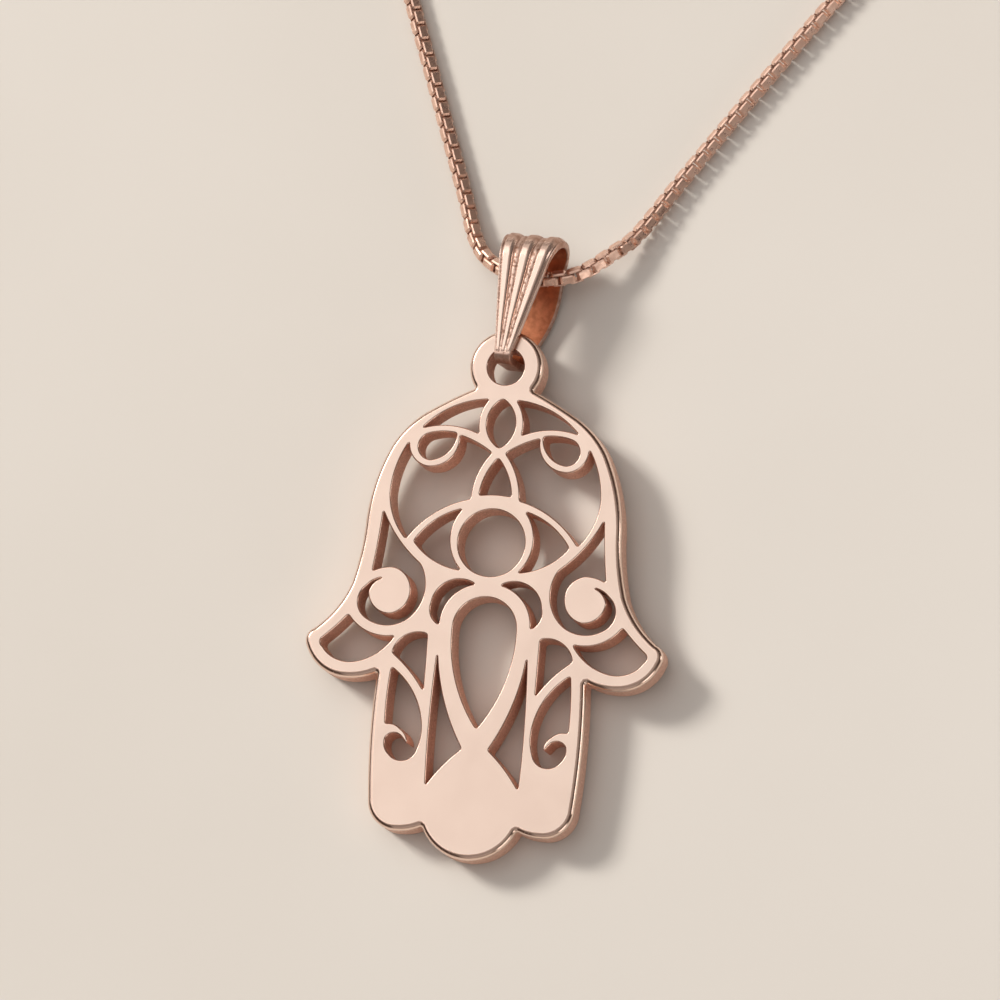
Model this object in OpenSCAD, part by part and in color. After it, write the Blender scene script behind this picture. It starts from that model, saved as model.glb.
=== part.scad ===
// Hamsa pendant on a box chain, laid face up on a flat surface.
// Millimetres, +Z up. The origin is the centre of the neck loop, on the surface it lies on.

/* [Hand] */
// Width of the hand's flat face across both thumbs
hand_w = 20; // [16:0.5:26]
// Length of the hand's flat face from its crown to the middle fingertip
hand_l = 26.5; // [22:0.5:34]
// How far the plate's rounded outer edge stands out from its flat face
edge_proud = 0.15; // [0:0.05:0.3]
// Thickness of the hand plate
plate_t = 2; // [1.4:0.1:2.6]
// Radius of the round hole in the iris of the eye
iris_r = 1.88; // [1.4:0.02:2]

/* [Ring] */
// Outer radius of the flat face of the ring at the top of the hand
ring_r = 1.93; // [1.7:0.01:2.3]
// Radius of the ring's hole
ring_hole_r = 1.03; // [0.95:0.01:1.2]
// Height of the ring's centre above the crown
ring_rise = 1.07; // [1:0.01:1.5]

/* [Bail] */
// Length of the bail from its foot to its top
bail_l = 7.45; // [5.5:0.05:9]
// Width of the bail at its top
bail_top_w = 3.5; // [2.5:0.1:5]
// Width of the bail at its foot, inside the ring
bail_foot_w = 0.96; // [0.8:0.02:1.1]
// Thickness of the bail's sheet
bail_sheet = 0.4; // [0.3:0.05:0.45]
// Room between the hand plate and the bail, at the front and at the back
bail_slack = 0.18; // [0.15:0.01:0.3]
// Height of the three flutes above the sheet at the top
flute_rise = 0.24; // [0.1:0.02:0.4]
// Room between the bail's foot and the ring's rim above it
foot_room = 0.5; // [0.1:0.05:0.6]
// How far the bail's back bows out at its middle
bail_belly = 0.3; // [0:0.05:0.5]
// How far the bail's back bows to the right at its middle
bail_bow = 0.4; // [0:0.05:0.5]
// How far the bail's fan spreads to the right of its foot at the top
bail_skew = 0.4; // [0:0.05:0.8]
// Lean of the bail to the right of the hand's axis, in degrees
bail_lean = 5; // [0:0.5:10]
// Turn of the bail about its own length, in degrees
bail_yaw = 8; // [0:0.5:9]

/* [Chain] */
// Width of the box chain across its corners
chain_w = 1; // [0.8:0.05:1.1]

/* [Clasp] */
// Radius of the clasp's ring, to the middle of its wire
clasp_r = 2.7; // [2.4:0.1:4]
// Diameter of the clasp's wire
clasp_wire = 1.3; // [1:0.05:1.4]
// Radius of the clasp's eye, to the middle of its wire
eye_r = 0.95; // [0.85:0.05:1.3]
// Diameter of the eye's wire
eye_wire = 0.7; // [0.5:0.05:0.8]
// Radius of the two links beside the clasp, to the middle of their wire
link_r = 1.3; // [1.2:0.05:1.8]
// Diameter of the links' wire
link_wire = 0.55; // [0.4:0.05:0.6]

/* [Hidden] */

// Small gap between pieces that touch on the real pendant
gap = 0.08;
// Longest straight piece of a curved edge, and its largest turn in degrees
edge_len = 0.45;
edge_turn = 12;

// One step of the tables: a twentieth of the hand's width, and its length over 26.5.
step_x = hand_w / 20;
step_y = hand_l / 26.5;
// Columns of the tables. Rows run counter-clockwise round a shape, from the eye's centre.
// BOW is the height of the arc from this row to the next, in hundredths of its chord,
// positive to the right of the way it runs.
X = 0;
Y = 1;
BOW = 2;

// Right half of the outline, from the middle fingertip up to the crown
outline_rows = [
    [0, -17.6, 15.6], [2.6, -15.79, 6.5], [4, -16.16, 22], [5.68, -14.6, 0],
    [5.76, -7.3, 8.5], [8, -7.75, 15], [9.96, -6, 17], [9.62, -5.38, -7],
    [7.66, -2.75, -3.2], [7.1, 1.04, 5], [5.97, 5.24, 6.6], [3.96, 7.28, 1.5],
    [1.5, 8.62, 0], [0, 8.9, 0]
];
fingertip = outline_rows[0][Y] * step_y - edge_proud;
crown = outline_rows[len(outline_rows) - 1][Y] * step_y;
ring_y = crown + ring_rise;

// Openings on the axis, right half only, from their lowest point up
leaf_rows = [[0, 5.35, 29], [0, 8.12, 0]];
peak_rows = [[0, 2.72, -2], [0.9, 2.64, 8], [0, 4.77, 0]];
drop_rows = [[0, -10.43, 8.5], [1.78, -4.85, 20.7], [0, -3.07, 0]];

// Openings beside the axis, right side
brow_rows = [[1.21, 6.12, -9.5], [4.41, 6.31, 10], [0.81, 8.06, -11.5]];
curl_loop_rows = [[2.47, 6.08, 19], [3.85, 4.53, 43], [4, 6, 6]];
cheek_rows = [
    [4.87, 0.02, 9], [5.93, 2.6, 6.5], [5.12, 5.45, -19], [4, 4.12, -24],
    [2.27, 5.96, 4.5], [0.41, 5.06, -8.5], [1.4, 2.43, -9.6]
];
eye_rows = [[4.38, -0.1, 9.3], [1.82, 1.81, -19], [1.65, -1.61, 10]];
spiral_rows = [
    [6.25, 1.5, -6], [3.94, -1.39, 17.5], [4.26, -4.35, 19], [6.9, -4.43, 23],
    [6.86, -2.75, 9], [6, -2.26, -14], [6.74, -3.1, -21], [5.4, -4.27, -17.5],
    [4.34, -3, -19], [5.4, -1.62, -7.5], [6.59, -1.9, -1]
];
crescent_rows = [[0.74, -2.36, -18], [2.6, -4.72, 18], [3.1, -3.55, 27.5]];
thumb_rows = [
    [5.07, -5.5, 10.5], [7.2, -7.02, 15], [9.1, -6.25, 25], [9.1, -5.78, -2],
    [7.76, -4.42, -15]
];
palm_rows = [[3.2, -5.3, 0], [3.18, -8.44, -4.5], [5.08, -6.42, 22]];
slit_rows = [[2.53, -6.42, -5.6], [0.76, -11.6, -3.8], [2.6, -13.7, 1.3]];
finger_rows = [
    [5.04, -7.27, 11], [3.13, -10.42, 7], [3.41, -12.03, 25], [4.8, -12.11, 14],
    [5.08, -11.23, 27], [4.18, -11.12, 0], [3.82, -11.6, -14], [4.25, -10.68, -13],
    [5.15, -10.42, 2]
];

// Places of the clasp and of the two upright links that pass under its ring and its eye
clasp_y = 57;
link_out = link_r + link_wire / 2;
clasp_z = link_wire + gap + clasp_wire / 2;
eye_x = -clasp_r - clasp_wire / 2 - eye_r + eye_wire / 2;
clasp_link_x = eye_x - link_r;
end_link_x = clasp_r;

// Route of the chain's middle, chosen by hand between its two ends, which stop at the links.
// Columns are x, y and z in millimetres.
chain_lie = chain_w / 2;
route = [
    [end_link_x + link_out + gap, clasp_y, link_out], [12, 55.4, 0.9], [24, 51.4, chain_lie],
    [38, 42, chain_lie], [50, 27, chain_lie], [56.4, 10, chain_lie], [56.6, -8, chain_lie],
    [51, -26, chain_lie], [42, -44, chain_lie], [29, -63, chain_lie],
    [14, -83, chain_lie], [-0.5, -101.1, chain_lie], [-5.1, -107.2, chain_lie],
    [-9.7, -113.6, chain_lie], [-12, -117.1, 0.8], [-13.3, -118.5, 1.25],
    [-15, -119.65, 1.7], [-17.7, -120.1, 1.85], [-20.2, -119.4, 1.4], [-21.2, -117.8, 0.85],
    [-22.2, -115.3, chain_lie], [-24.3, -109.4, chain_lie], [-27.6, -100.2, chain_lie],
    [-34, -81, chain_lie], [-41, -60, chain_lie], [-48, -40, chain_lie],
    [-54.4, -20, chain_lie], [-57, -2, chain_lie], [-54.6, 16, chain_lie],
    [-47, 32, chain_lie], [-35, 45, chain_lie], [-20, 53.4, chain_lie],
    [-12, 55.8, 1], [clasp_link_x - link_out - gap, clasp_y, link_out]
];

// How far the chain lies below the bail's top, inside it, at the route's lowest point
bail_play = 1.3;
hang_y = min([for (p = route) p.y]);

// The bail's own sizes, from the middle of its loop
bail_half = plate_t / 2 + bail_slack;
bail_mid = bail_half + bail_sheet / 2;
bail_corner = 0.55;
// How far the bail's lowest edge lies below its middle, at the foot and at the top
bail_out = bail_half + bail_sheet + bail_belly;
foot_drop = bail_out * cos(bail_yaw) + bail_foot_w / 2 * sin(bail_yaw);
top_drop = bail_out * cos(bail_yaw) + bail_top_w / 2 * sin(bail_yaw);
bail_pitch = asin((top_drop - foot_drop) / bail_l);
// Place of the bail's foot on the hand: its sheet lies in the ring's hole, under the rim
bail_foot_y = ring_y + ring_hole_r - foot_room - bail_sheet;

// Place of the bail's foot and of the hand, whose tip touches the surface while the bail's back
// lifts its ring
hand_x = -18.5;
rim_y = ring_y + (ring_r + edge_proud + ring_hole_r) / 2;
hand_tilt = asin((foot_drop + gap / 2 - plate_t / 2) / (rim_y - fingertip));
foot_y = hang_y + chain_w / 2 + bail_play + bail_sheet - bail_l * cos(bail_lean);
tip_y = foot_y - (bail_foot_y - fingertip) * cos(hand_tilt);

// A row's point at its real place
function place(row) = [row[X] * step_x, row[Y] * step_y];

// Points of one arc from a to b, without b, with its height bow in hundredths of the chord
function arc_points(a, b, bow) =
    let (
        chord = norm(b - a),
        along = (b - a) / chord,
        right = [along.y, -along.x],
        rise = bow / 100 * chord
    )
    abs(bow) < 0.1 ? [a] :
    let (
        r = (chord * chord / 4 + rise * rise) / (2 * rise),
        centre = (a + b) / 2 - right * (r - rise),
        half = 2 * atan(2 * rise / chord),
        long = abs(r * half) * PI / 90,
        n = ceil(max(long / edge_len, abs(2 * half) / edge_turn))
    )
    [for (i = [0 : n - 1])
        let (turn = half * (2 * i / n - 1))
        centre + r * (sin(turn) * along + cos(turn) * right)];

// Points round a closed shape
function closed_points(rows) = [
    for (i = [0 : len(rows) - 1])
        each arc_points(place(rows[i]), place(rows[(i + 1) % len(rows)]), rows[i][BOW])
];

// Points of a shape that the axis halves, from its right half
function halved_points(rows) =
    let (
        last = len(rows) - 1,
        side = [for (i = [0 : last - 1])
            each arc_points(place(rows[i]), place(rows[i + 1]), rows[i][BOW])],
        top = place(rows[last])
    )
    concat(side, [top], [for (i = [len(side) - 1 : -1 : 1]) [-side[i].x, side[i].y]]);

// The corners of a closed shape, all its edges moved outwards by the same distance
function grown(points, out) = [
    for (i = [0 : len(points) - 1])
        let (
            before = points[i] - points[(i + len(points) - 1) % len(points)],
            after = points[(i + 1) % len(points)] - points[i],
            come = before / norm(before),
            go = after / norm(after),
            way = (come + go) / norm(come + go)
        )
        points[i] + out / (way * come) * [way.y, -way.x]];

// One opening on each side of the axis
module both_sides(rows) {
    polygon(closed_points(rows));
    mirror([1, 0]) polygon(closed_points(rows));
}

module hand_openings() {
    circle(r = iris_r, $fn = 64);
    translate([0, ring_y]) circle(r = ring_hole_r, $fn = 48);
    polygon(halved_points(leaf_rows));
    polygon(halved_points(peak_rows));
    polygon(halved_points(drop_rows));
    both_sides(brow_rows);
    both_sides(curl_loop_rows);
    both_sides(cheek_rows);
    both_sides(eye_rows);
    both_sides(spiral_rows);
    both_sides(crescent_rows);
    both_sides(thumb_rows);
    both_sides(palm_rows);
    both_sides(slit_rows);
    both_sides(finger_rows);
}

// Brings what is drawn from the eye's centre, on the plate's back, to where it lies
module on_hand() {
    translate([hand_x, tip_y, 0]) rotate([hand_tilt, 0, 0]) translate([0, -fingertip, 0])
        children();
}

module hand() {
    color([0.93, 0.72, 0.64])
    on_hand()
    linear_extrude(plate_t)
    difference() {
        union() {
            polygon(grown(halved_points(outline_rows), edge_proud));
            translate([0, ring_y]) circle(r = ring_r + edge_proud, $fn = 64);
        }
        hand_openings();
    }
}

// Side view of the bail's loop. Columns are the distance up its length, the depth, the way out
// as an angle from the front, how far the flutes stand there, from none to full, and how far the
// strip bows to the right.
UP = 0;
DEPTH = 1;
WAY = 2;
FLUTED = 3;
BOWED = 4;
leg_steps = 8;
top_turn = 15;
foot_turn = 22.5;
// The flutes start low at the foot, are full by a third of the way up, and fade behind the top
flute_start = 0.35;
flute_full = 0.33;
fade_from = 45;
fade_to = 150;
leg_top = bail_l - bail_sheet / 2 - bail_mid;

function fluted_leg(share) = min(1, flute_start + (1 - flute_start) * share / flute_full);
function fluted_top(turn) = min(1, max(0, (fade_to - turn) / (fade_to - fade_from)));
function front_side() = [for (i = [0 : leg_steps])
    let (share = i / leg_steps)
    [bail_corner + (leg_top - bail_corner) * share, bail_mid, 0, fluted_leg(share), 0]];
function over_top() = [for (turn = [top_turn : top_turn : 180 - top_turn])
    [leg_top + bail_mid * sin(turn), bail_mid * cos(turn), turn, fluted_top(turn), 0]];
function back_side() = [for (i = [0 : leg_steps])
    let (share = i / leg_steps, bow = sin(180 * share))
    [leg_top + (bail_corner - leg_top) * share, -bail_mid - bail_belly * bow, 180, 0,
        bail_bow * bow]];
function foot_row(turn, side) = [
    bail_sheet / 2 + (bail_corner - bail_sheet / 2) * (1 + sin(turn)),
    side * (bail_mid - bail_corner) + bail_corner * cos(turn), turn, 0, 0];
function under_foot() = concat(
    [for (turn = [180 + foot_turn : foot_turn : 270 - foot_turn]) foot_row(turn, -1)],
    [for (turn = [270 : foot_turn : 360 - foot_turn]) foot_row(turn, 1)]);
bail_side = concat(front_side(), over_top(), back_side(), under_foot());

// Half the bail's width at a distance up its length
function bail_share(up) = min(1, max(0, (up - bail_corner) / (bail_l - bail_corner)));
function bail_reach(up) = (bail_foot_w + (bail_top_w - bail_foot_w) * bail_share(up)) / 2;
// Three flutes across the width, from -1 at the left edge to 1 at the right
function flute(across) = abs(cos(270 * across));
// One section of the bail: the fluted outside from left to right, then the plain inside
flute_steps = 12;
function bail_section(row) =
    let (
        reach = bail_reach(row[UP]),
        middle = bail_skew * bail_share(row[UP]) + row[BOWED],
        up = sin(row[WAY]),
        out = cos(row[WAY]),
        sheet = bail_sheet / 2,
        rise = flute_rise * row[FLUTED] * reach * 2 / bail_top_w
    )
    concat(
        [for (i = [0 : flute_steps])
            let (across = 2 * i / flute_steps - 1, lift = sheet + rise * flute(across))
            [middle + reach * across, row[UP] + up * lift, row[DEPTH] + out * lift]],
        [for (across = [1, 0, -1])
            [middle + reach * across, row[UP] - up * sheet, row[DEPTH] - out * sheet]]);

module bail() {
    sections = [for (row = bail_side) bail_section(row)];
    rings = len(sections);
    around = len(sections[0]);
    color([0.9, 0.66, 0.56])
    translate([hand_x, foot_y, foot_drop])
    rotate([0, 0, -bail_lean]) rotate([bail_pitch, 0, 0]) rotate([0, -bail_yaw, 0])
    polyhedron(
        points = [for (s = sections) each s],
        faces = [for (i = [0 : rings - 1], j = [0 : around - 1])
            let (i2 = (i + 1) % rings, j2 = (j + 1) % around)
            each [
                [i * around + j, i2 * around + j, i2 * around + j2],
                [i * around + j, i2 * around + j2, i * around + j2]
            ]],
        convexity = 6);
}

// Smooth curve through the route (Catmull-Rom), from its point i to the next as t goes to 1
function smooth_at(i, t) =
    let (
        last = len(route) - 1,
        p0 = route[max(i - 1, 0)],
        p1 = route[i],
        p2 = route[min(i + 1, last)],
        p3 = route[min(i + 2, last)]
    )
    0.5 * (2 * p1 + (p2 - p0) * t + (2 * p0 - 5 * p1 + 4 * p2 - p3) * t * t
        + (3 * p1 - p0 - 3 * p2 + p3) * t * t * t);
// The same, kept on the surface
function curve_at(i, t) = let (p = smooth_at(i, t)) [p.x, p.y, max(p.z, chain_lie)];
// Longest stretch between two rings of the tube
ring_space = 7.5;
function span_cuts(i) = ceil(norm(route[i + 1] - route[i]) / ring_space);
chain_points = concat(
    [for (i = [0 : len(route) - 2], k = [0 : span_cuts(i) - 1]) curve_at(i, k / span_cuts(i))],
    [route[len(route) - 1]]);

chain_sides = 8;
module chain() {
    last = len(chain_points) - 1;
    corner = chain_w / 2 / cos(180 / chain_sides);
    rings = [for (i = [0 : last])
        let (
            run = chain_points[min(i + 1, last)] - chain_points[max(i - 1, 0)],
            along = run / norm(run),
            side = cross([0, 0, 1], along) / norm(cross([0, 0, 1], along)),
            up = cross(along, side)
        )
        [for (k = [0 : chain_sides - 1])
            let (turn = 360 * (k + 0.5) / chain_sides)
            chain_points[i] + corner * (cos(turn) * side + sin(turn) * up)]];
    color([0.85, 0.58, 0.48])
    polyhedron(
        points = [for (r = rings) each r],
        faces = concat(
            [[for (k = [0 : chain_sides - 1]) k]],
            [for (i = [0 : last - 1], k = [0 : chain_sides - 1])
                let (k2 = (k + 1) % chain_sides, a = i * chain_sides, b = a + chain_sides)
                each [[a + k, b + k2, a + k2], [a + k, b + k, b + k2]]],
            [[for (k = [chain_sides - 1 : -1 : 0]) last * chain_sides + k]]),
        convexity = 6);
}

// A round ring of wire in the XY plane
module wire_ring(middle_r, wire) {
    rotate_extrude($fn = 48) translate([middle_r, 0]) circle(d = wire, $fn = 24);
}

// A spring ring with its eye
module clasp() {
    color([0.88, 0.62, 0.52])
    translate([0, clasp_y, clasp_z]) {
        wire_ring(clasp_r, clasp_wire);
        translate([eye_x, 0, 0]) wire_ring(eye_r, eye_wire);
    }
}

// A link that stands upright on the surface, in line with the chain
module upright_link(x) {
    color([0.88, 0.62, 0.52])
    translate([x, clasp_y, link_out]) rotate([90, 0, 0]) wire_ring(link_r, link_wire);
}

// The link that joins the chain's left end to the clasp's eye
module clasp_link() {
    upright_link(clasp_link_x);
}

// The link that closes the chain's right end into the clasp's ring
module end_link() {
    upright_link(end_link_x);
}

hand();
bail();
chain();
clasp();
clasp_link();
end_link();
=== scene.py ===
# %% [markdown]
# # A rose-gold hamsa pendant on a box chain
#
# The pendant is a flat hand cut from 2 mm plate. A folded, fluted bail goes through the ring at its
# top, and a fine box chain goes through the bail. The whole necklace lies on a pale table.
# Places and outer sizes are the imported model's, which is loaded first and never moved. What is
# added here is what a jeweller's bench gives the metal: rounded rims, sawn walls, piped flutes,
# real links and a polish.

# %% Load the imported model
import math

import bmesh
import bpy
import numpy as np
from mathutils import Matrix, Vector


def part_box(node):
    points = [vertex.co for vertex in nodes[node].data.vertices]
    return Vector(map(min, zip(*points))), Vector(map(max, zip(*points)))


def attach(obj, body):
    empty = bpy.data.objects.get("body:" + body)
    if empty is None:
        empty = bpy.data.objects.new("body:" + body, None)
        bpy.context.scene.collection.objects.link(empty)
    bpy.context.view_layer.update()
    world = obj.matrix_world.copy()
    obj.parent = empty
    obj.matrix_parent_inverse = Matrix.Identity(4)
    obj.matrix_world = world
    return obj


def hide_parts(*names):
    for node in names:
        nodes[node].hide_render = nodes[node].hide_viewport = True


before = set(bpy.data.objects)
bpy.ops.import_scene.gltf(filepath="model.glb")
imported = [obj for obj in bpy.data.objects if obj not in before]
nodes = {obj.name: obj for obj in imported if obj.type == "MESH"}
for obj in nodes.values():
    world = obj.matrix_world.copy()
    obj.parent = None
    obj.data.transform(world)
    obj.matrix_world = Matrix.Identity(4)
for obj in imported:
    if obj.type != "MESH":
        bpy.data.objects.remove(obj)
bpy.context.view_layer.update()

MM = 0.001
print("pieces in the model:", ", ".join(sorted(nodes)))

# %% [markdown]
# ## Making meshes from whole arrays
#
# Each new piece is a function of two parameters, worked out on a grid of points. Small helpers do
# the rest: one joins a grid into four-sided faces, others hand points and faces to Blender and put
# them in the scene. The alternative, building with bmesh operators one step at a time, hides the
# shape's formula.

# %% Helpers that turn arrays into pieces
def grid_faces(rows, columns, close_rows=False):
    """Four-sided faces of a grid whose points are numbered row by row. Each face joins a point to
    the next column and the next row. Columns close into a ring, and rows do so when asked."""
    row = np.arange(rows if close_rows else rows - 1)
    row, column = (a.ravel() for a in np.meshgrid(row, np.arange(columns), indexing="ij"))
    next_row = (row + 1) % rows
    next_column = (column + 1) % columns
    corners = (row * columns + column, row * columns + next_column,
               next_row * columns + next_column, next_row * columns + column)
    return np.stack(corners, axis=1)


def add_object(name, data):
    """A new object in the scene that shows a mesh, a camera or a light."""
    item = bpy.data.objects.new(name, data)
    bpy.context.scene.collection.objects.link(item)
    return item


def make_piece(name, points, faces, materials, material_of=None, normals=None, smooth=True):
    """An object from points in millimetres and a list of face arrays. Its place is in its mesh."""
    mesh = bpy.data.meshes.new(name)
    face_list = [face for group in faces for face in np.asarray(group).tolist()]
    mesh.from_pydata((np.asarray(points) * MM).tolist(), [], face_list)
    for material in materials:
        mesh.materials.append(material)
    if material_of is not None:
        mesh.polygons.foreach_set("material_index", np.asarray(material_of, dtype=np.int32))
    mesh.polygons.foreach_set("use_smooth", np.full(len(mesh.polygons), smooth))
    if normals is not None:
        mesh.normals_split_custom_set_from_vertices(np.asarray(normals).tolist())
    mesh.update()
    return add_object(name, mesh)


print("a grid of 3 rows of 4 points has", len(grid_faces(3, 4)), "faces")

# %% [markdown]
# ## The camera
#
# The photo was taken from well above, a little to the right of the pendant and below its tip, with
# a long lens. A long lens far away keeps the plate's two faces nearly the same size. The camera is
# turned about its own line of sight until the hand leans as it does in the picture.

# %% Camera
CAMERA_PLACE = Vector((63.3, -213.6, 403.2)) * MM
CAMERA_AIM = Vector((-18.35, -132.92, 2)) * MM
CAMERA_ROLL = math.radians(-5.06)
CAMERA_LENS = 270


def add_camera(place, aim, roll, lens):
    """A camera at a place, looking at a point. Its up starts as the table's +Y seen square to the
    line of sight, and is then turned by the roll towards the right."""
    forward = (aim - place).normalized()
    level = forward.cross(Vector((0, 1, 0))).normalized()
    up = math.cos(roll) * level.cross(forward) + math.sin(roll) * level
    right = forward.cross(up)
    data = bpy.data.cameras.new("camera")
    data.lens = lens
    data.clip_start = 0.01
    data.clip_end = 20
    camera = add_object("camera", data)
    turn = Matrix((right, up, -forward)).transposed().to_4x4()
    camera.matrix_world = Matrix.Translation(place) @ turn
    bpy.context.scene.camera = camera


add_camera(CAMERA_PLACE, CAMERA_AIM, CAMERA_ROLL, CAMERA_LENS)
print("camera stands", round((CAMERA_AIM - CAMERA_PLACE).length / MM), "mm from the pendant")

# %% [markdown]
# ## Light and table
#
# Polished metal shows what is round it, so the lights are chosen for their reflections as much as
# for their shadows. A broad panel at the upper left is what the flat face mirrors to the camera,
# and it gives the plate its even pale tone. A panel behind lights the bail's bend, and two low ones
# light the links and the sawn walls, and draw a bright line along the rounded rims. A dim one in
# front is there for the views from behind, and a small one further left makes the glints. The metal
# doesn't mirror the last two: a strong one that throws the shadows to the lower right, and a wide
# one overhead that keeps them soft.

# %% Lights
PENDANT_MIDDLE = Vector((-18.5, -135, 1)) * MM


def add_panel(name, direction, distance, size, brightness, colour, mirrored=True):
    """A square light panel that faces the pendant from a direction, its distance and size in
    metres. A brightness of 1 looks as bright as white paper, and the panel's power is that times
    pi times its area."""
    data = bpy.data.lights.new(name, "AREA")
    data.shape = "SQUARE"
    data.size = size
    data.energy = brightness * math.pi * size**2
    data.color = colour
    panel = add_object(name, data)
    way = Vector(direction).normalized()
    panel.location = PENDANT_MIDDLE + way * distance
    panel.rotation_euler = way.to_track_quat("Z", "Y").to_euler()
    panel.visible_glossy = mirrored
    print(f"{name}: {data.energy:.1f} W")


add_panel("soft_panel", (-0.48, 0.32, 0.82), 1.75, 1.9, 0.82, (1, 0.985, 0.965))
add_panel("back_panel", (-0.25, 0.85, 0.62), 2.2, 1.6, 0.42, (1, 0.9, 0.81))
add_panel("low_panel", (0.67, -0.68, 0.3), 2, 0.85, 1.7, (1, 0.95, 0.9))
add_panel("right_panel", (0.96, 0.12, 0.2), 2, 0.6, 2.4, (1, 0.96, 0.92))
add_panel("front_panel", (0.05, -0.88, 0.48), 2.3, 1.7, 0.32, (1, 0.94, 0.88))
add_panel("glint_panel", (-0.74, 0.44, 0.6), 2, 0.75, 4, (1, 0.97, 0.92))
add_panel("key_panel", (-0.74, 0.44, 0.6), 2, 0.4, 68, (1, 0.96, 0.9), mirrored=False)
add_panel("fill_panel", (0.1, 0, 1), 2.4, 2.8, 0.45, (0.97, 0.985, 1), mirrored=False)

# %% [markdown]
# The room itself is bright overhead, a little warm low down, and dark halfway up. The rounded rims
# mirror that dark part as a thin dark line. One ramp over the height of the direction gives all of
# it, and is quicker to adjust than a picture of a room.

# %% Room and colour handling
ROOM_TONES = [(0, (0.2, 0.15, 0.12)), (0.15, (0.15, 0.11, 0.085)), (0.32, (0.06, 0.04, 0.032)),
              (0.68, (0.065, 0.045, 0.04)), (0.85, (0.3, 0.25, 0.22)), (1, (0.4, 0.37, 0.35))]


def light_room(tones):
    """A room whose colour follows the height of the direction, from 0 at the horizon to 1 overhead.
    Each tone is such a height and the colour there."""
    world = bpy.data.worlds.new("room")
    bpy.context.scene.world = world
    world.use_nodes = True
    tree = world.node_tree
    coordinates = tree.nodes.new("ShaderNodeTexCoord")
    split = tree.nodes.new("ShaderNodeSeparateXYZ")
    ramp = tree.nodes.new("ShaderNodeValToRGB")
    elements = ramp.color_ramp.elements
    elements.remove(elements[1])
    for number, (height, colour) in enumerate(tones):
        element = elements[0] if number == 0 else elements.new(height)
        element.position = height
        element.color = (*colour, 1)
    tree.links.new(coordinates.outputs["Generated"], split.inputs[0])
    tree.links.new(split.outputs["Z"], ramp.inputs[0])
    tree.links.new(ramp.outputs[0], tree.nodes["Background"].inputs["Color"])


light_room(ROOM_TONES)
bpy.context.scene.view_settings.view_transform = "Standard"
print("room tones at heights", [height for height, _ in ROOM_TONES])

# %% [markdown]
# ## Finishes as shader groups
#
# Bench work leaves the same few marks on every piece: a fine grain, hair-thin polishing lines, and
# tarnish in random patches. The tarnish group also paints shade in the low places of a piece that
# stores how deep they are. Each is a node group with named inputs, built once and used with its own
# values in each metal. A group puts out masks and heights only, and the metal's own shader stays in
# the material. Noise textures from one formula do it all, and unlike a picture they stay sharp from
# close by.

# %% The grain group
NOISE_MIDDLE = 0.5


def new_group(name, inputs, outputs):
    """An empty shader group with number sockets. Inputs give a name and a starting value."""
    group = bpy.data.node_groups.new(name, "ShaderNodeTree")
    for socket, start in inputs.items():
        made = group.interface.new_socket(socket, in_out="INPUT", socket_type="NodeSocketFloat")
        made.default_value = start
    for socket in outputs:
        group.interface.new_socket(socket, in_out="OUTPUT", socket_type="NodeSocketFloat")
    return group, group.nodes.new("NodeGroupInput"), group.nodes.new("NodeGroupOutput")


def add_math(tree, operation, *values, limit=False):
    """One sum on numbers or sockets."""
    node = tree.nodes.new("ShaderNodeMath")
    node.operation = operation
    node.use_clamp = limit
    for socket, value in zip(node.inputs, values):
        if isinstance(value, bpy.types.NodeSocket):
            tree.links.new(value, socket)
        else:
            socket.default_value = value
    return node.outputs[0]


def add_noise(tree, vector, scale, detail):
    """Soft noise between 0 and 1. The scale may be a number or a socket."""
    noise = tree.nodes.new("ShaderNodeTexNoise")
    noise.inputs["Detail"].default_value = detail
    tree.links.new(vector, noise.inputs["Vector"])
    if isinstance(scale, bpy.types.NodeSocket):
        tree.links.new(scale, noise.inputs["Scale"])
    else:
        noise.inputs["Scale"].default_value = scale
    return noise.outputs["Fac"]


def object_place(tree):
    """The point's own place, in metres, which a pattern follows."""
    return tree.nodes.new("ShaderNodeTexCoord").outputs["Object"]


def build_grain():
    """Fine grain: noise about its middle value, times a strength, and the noise itself."""
    inputs = {"Scale": 9000, "Strength": 0.1}
    group, given, put = new_group("fine_grain", inputs, ("Height", "Value"))
    noise = add_noise(group, object_place(group), given.outputs["Scale"], detail=4)
    around = add_math(group, "SUBTRACT", noise, NOISE_MIDDLE)
    value = add_math(group, "MULTIPLY", around, given.outputs["Strength"])
    group.links.new(value, put.inputs["Value"])
    group.links.new(noise, put.inputs["Height"])
    return group


GRAIN = build_grain()
print(GRAIN.name, "has", len(GRAIN.nodes), "nodes")

# %% The polishing lines group
LINE_ANGLE = 0.5
LINE_FLOOR = 0.55
LINE_GAIN = 6


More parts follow.
